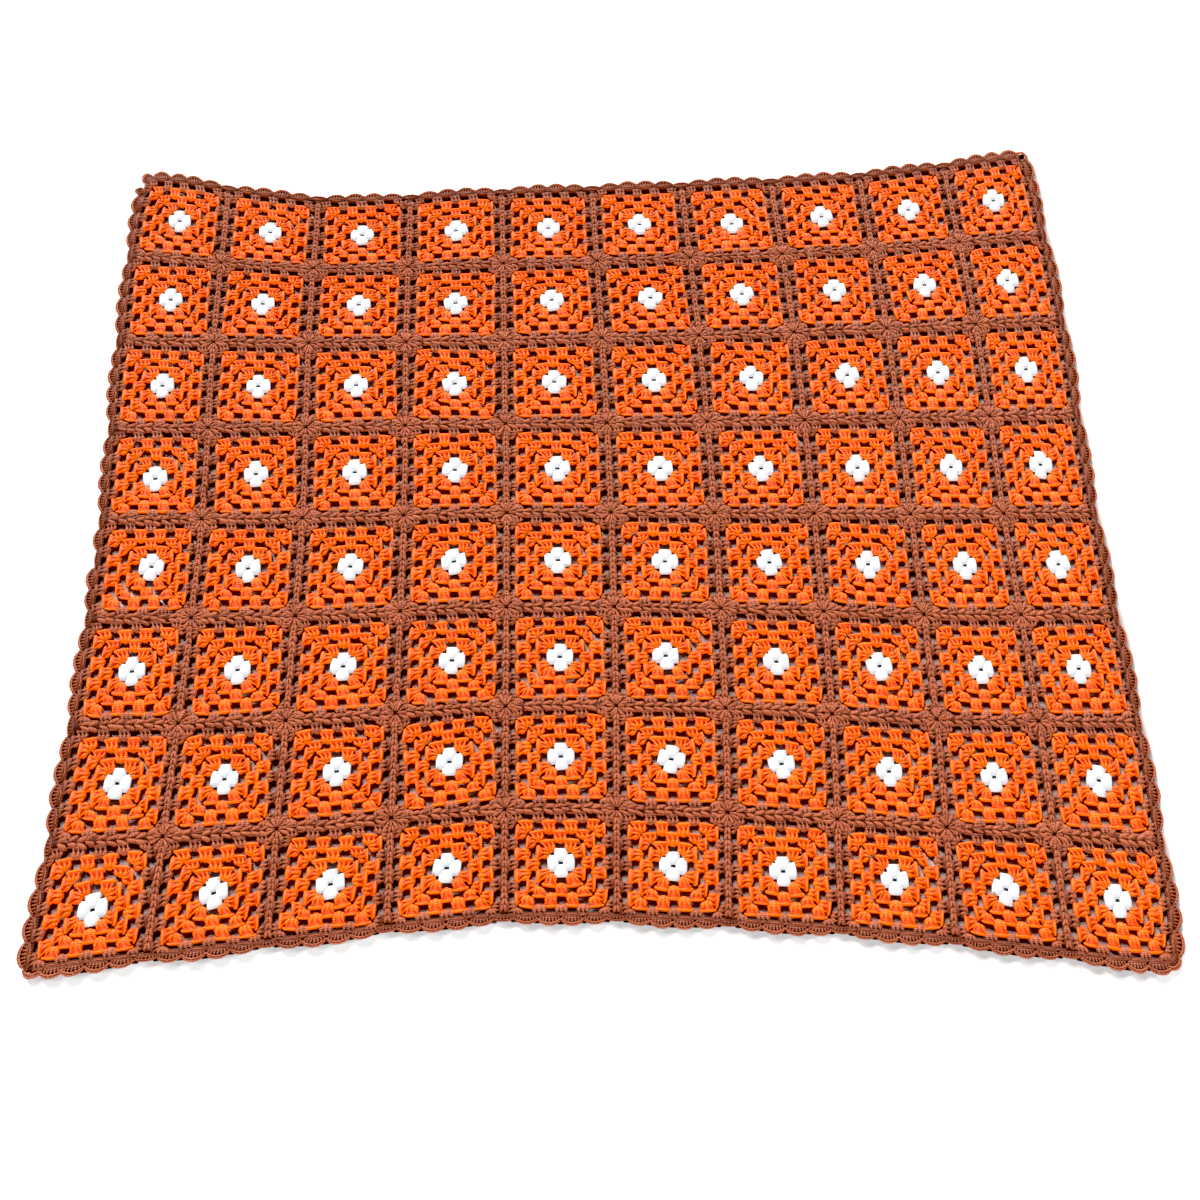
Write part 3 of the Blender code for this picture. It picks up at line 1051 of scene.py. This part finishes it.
def makeRowSeam(number):  # the long seam on the near side of that strip
    y = halfLength - number * pitch
    along, across = np.array([1.0, 0]), np.array([0, -1.0])
    chains, humps, cores = [], [], []
    for column in columns:
        left, right = column * pitch - halfWidth, (column + 1) * pitch - halfWidth
        chains += chainPlaces((left + seam["short"], y), (right - seam["short"], y), seam["row"])
        humps += humpPlaces((left + right) / 2, y)
        cores.append(onePlace(np.array([left, y]), np.array([right, y]), across, across))
    bursts = [place for x in shortSeams for place in burstPlaces(x, y)]
    grounds = [onePlace(np.array([x, y]), np.array([x, y + 1]), along, along) for x in shortSeams]
    parts = [
        copiesOf(stitchForm, seam["stitchLength"], chains),
        copiesOf(humpForm, 1, humps),
        copiesOf(coreForm, pitch, cores),
        copiesOf(burstForm, burst["length"], bursts),
        copiesOf(burstPadForm, 1, grounds),
    ]
    piece = makePiece(f"row_seam_{number}_chain", parts, brownYarn)
    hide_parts(f"row_seam_{number}")
    return piece


rowSeams = [makeRowSeam(number) for number in range(1, cloth["rows"])]
print("row seams made")


def makeEdging(name):  # one side of it
    side = sides[name]
    parts = [
        copiesOf(shellForm, edging["length"], shellPlaces(side)),
        copiesOf(bandForm, pitch, bandPlaces(side)),
    ]
    # with a painted shadow below its curled rim
    if name == "edging_near":
        parts.append(copiesOf(curlShadowForm, 1, curlShadowPlaces(side)))
    for corner in side.get("corners", ()):
        form = slitForm if corner in edging["cornerSlit"] else shellForm
        parts.append(copiesOf(form, edging["length"], [cornerPlace(*corner)]))
    piece = makePiece(f"{name}_shells", parts, brownYarn)
    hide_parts(name)
    return piece


edgings = {name: makeEdging(name) for name in sides}
print("edging made")


# floor, light and camera

studio = {
    "floorSize": 60,
    "floorBelow": 0.3 * mm,
    "floor": 0.3,
    "floorRough": 0.9,
    "sky": 0.02,
    "black": 0.012,
    "suns": {  # strength, height, turn about Z, softness in degrees, and what it lights
        "key": (4.8, 36, 13, 28, "cloth"),
        "backdrop": (1.3, 14, -4, 20, "cloth"),
        "fill": (3.4, 16, 176, 20, "cloth"),
        "fill_left": (1.7, 16, 80, 20, "cloth"),
        "fill_right": (1.7, 16, -80, 20, "cloth"),
        "floor_key": (10.0, 32, 20, 22, "floor"),
        "floor_front": (36.0, 9, 176, 8, "floor"),
        "floor_right": (8.0, 20, -80, 12, "floor"),
        "floor_back": (36.0, 11, 35, 8, "floor"),
    },
    "bounced": (1, 0.68, 0.6),  # the floor between the stitches takes on their colour
}
clearSelection()
bpy.ops.mesh.primitive_plane_add(size=studio["floorSize"], location=(0, 0, -studio["floorBelow"]))
bpy.ops.object.transform_apply(location=True, rotation=True, scale=True)
floor = bpy.context.object
floor.name = "floor"
floorPaint = bpy.data.materials.new("floor_paint")
floorPaint.use_nodes = True
paint = floorPaint.node_tree.nodes["Principled BSDF"].inputs
paint["Base Color"].default_value = (studio["floor"],) * 3 + (1,)
paint["Roughness"].default_value = studio["floorRough"]
floor.data.materials.append(floorPaint)

lit = {"cloth": bpy.data.collections.new("cloth"), "floor": bpy.data.collections.new("floor")}
lit["floor"].objects.link(floor)
for piece in pieces:
    lit["cloth"].objects.link(piece)
for name, (strength, height, turn, soft, receiver) in studio["suns"].items():
    sun = bpy.data.objects.new(name, bpy.data.lights.new(name, "SUN"))
    sun.data.energy = strength
    sun.data.angle = math.radians(soft)
    sun.rotation_euler = (math.radians(height - 90), 0, math.radians(turn))
    sun.visible_glossy = not name.startswith("fill")  # the fill adds no shine
    bpy.context.scene.collection.objects.link(sun)
    sun.light_linking.receiver_collection = lit[receiver]
bpy.data.lights["floor_key"].color = studio["bounced"]

world = bpy.data.worlds.new("studio")
world.use_nodes = True
world.node_tree.nodes["Background"].inputs["Color"].default_value = (1, 1, 1, 1)
world.node_tree.nodes["Background"].inputs["Strength"].default_value = studio["sky"]
bpy.context.scene.world = world
grading = bpy.context.scene.view_settings
grading.view_transform = "Standard"
grading.use_curve_mapping = True
grading.curve_mapping.black_level = (studio["black"],) * 3

view = {
    "lens": 42,
    "sensor": 36,
    "place": (-0.1053, -0.7858, 1.6199),
    "turn": (22.56, -2.82, -1.93),
}
camera = bpy.data.objects.new("camera", bpy.data.cameras.new("camera"))
camera.data.lens = view["lens"]
camera.data.sensor_width = view["sensor"]
camera.location = view["place"]
camera.rotation_euler = [math.radians(turn) for turn in view["turn"]]
bpy.context.scene.collection.objects.link(camera)
bpy.context.scene.camera = camera

for row, strip in enumerate(strips):  # each with the seam on its near side
    trims = [strip["brown"], strip["white"], *rowSeams[row : row + 1]]
    if row == 0:
        trims += [edgings["edging_far"], edgings["edging_left"], edgings["edging_right"]]
    if row == cloth["rows"] - 1:
        trims.append(edgings["edging_near"])
